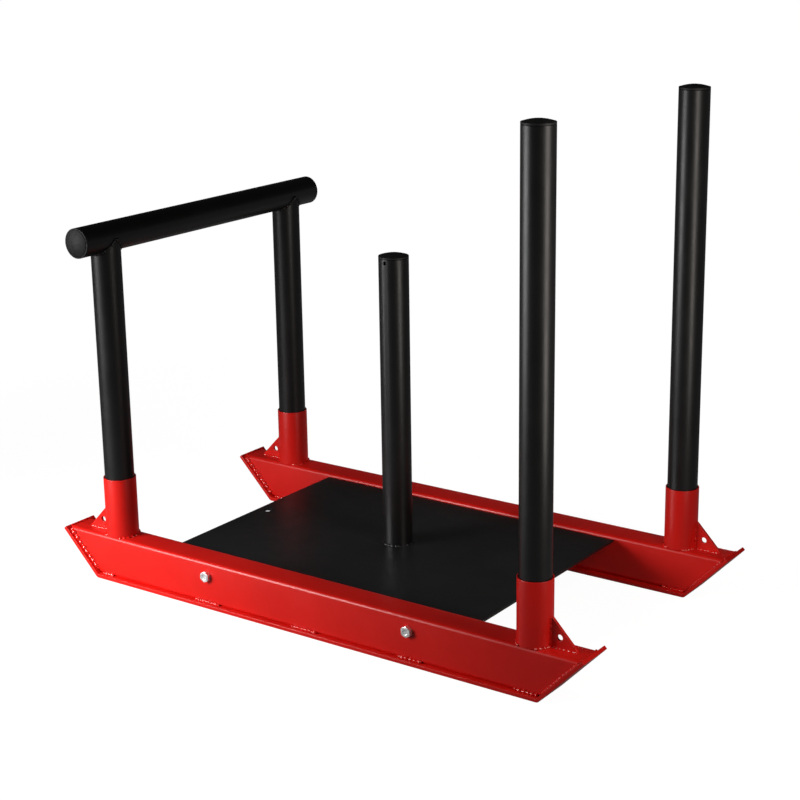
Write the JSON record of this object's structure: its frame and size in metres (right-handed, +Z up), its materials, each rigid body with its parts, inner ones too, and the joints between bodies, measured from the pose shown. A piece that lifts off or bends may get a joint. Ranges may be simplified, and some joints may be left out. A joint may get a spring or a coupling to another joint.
{
  "type": "push sled",
  "caption": "Push sled with upturned steel runners, a bolted deck that carries a weight post, lift-out tall posts at one end and a lift-out push handle at the other.",
  "frame": {"origin": "middle of the sled's outline seen from above, on the floor that the runners stand on", "axes": "+X along the runners towards the end with the tall posts, +Y across to the far runner, +Z up along the posts"},
  "size_m": [1.0032, 0.5884, 0.8157],
  "materials": {
    "red_paint": "gloss red powder coat over welded steel",
    "black_paint": "satin black powder coat",
    "black_plastic": "moulded black tube plug",
    "zinc": "bright zinc plate"
  },
  "bodies": {
    "base_frame": {"near_rail": "red_paint", "far_rail": "red_paint", "near_skid_plate": "red_paint", "far_skid_plate": "red_paint", "near_rear_socket": "red_paint", "near_front_socket": "red_paint", "far_rear_socket": "red_paint", "far_front_socket": "red_paint", "near_rear_gusset": "red_paint", "near_front_gusset": "red_paint", "far_rear_gusset": "red_paint", "far_front_gusset": "red_paint", "deck": "black_paint", "weight_post": "black_paint", "weight_post_cap": "black_plastic", "near_rear_bolt": "zinc", "near_front_bolt": "zinc", "far_rear_bolt": "zinc", "far_front_bolt": "zinc", "near_rear_washer": "zinc", "near_front_washer": "zinc", "far_rear_washer": "zinc", "far_front_washer": "zinc", "near_rear_nut": "zinc", "near_front_nut": "zinc", "far_rear_nut": "zinc", "far_front_nut": "zinc"},
    "near_tall_post": {"near_front_post": "black_paint", "near_front_post_cap": "black_plastic"},
    "far_tall_post": {"far_front_post": "black_paint", "far_front_post_cap": "black_plastic"},
    "push_handle": {"handle_crossbar": "black_paint", "near_handle_upright": "black_paint", "far_handle_upright": "black_paint", "near_handle_plug": "black_plastic", "far_handle_plug": "black_plastic"}
  },
  "joints": [
    {"name": "near_front_post_lift", "type": "slide", "parent": "base_frame", "child": "near_tall_post", "axis": [0, 0, 1], "range_m": [0, 0.12]},
    {"name": "far_front_post_lift", "type": "slide", "parent": "base_frame", "child": "far_tall_post", "axis": [0, 0, 1], "range_m": [0, 0.12]},
    {"name": "rear_handle_lift", "type": "slide", "parent": "base_frame", "child": "push_handle", "axis": [0, 0, 1], "range_m": [0, 0.12]}
  ]
}
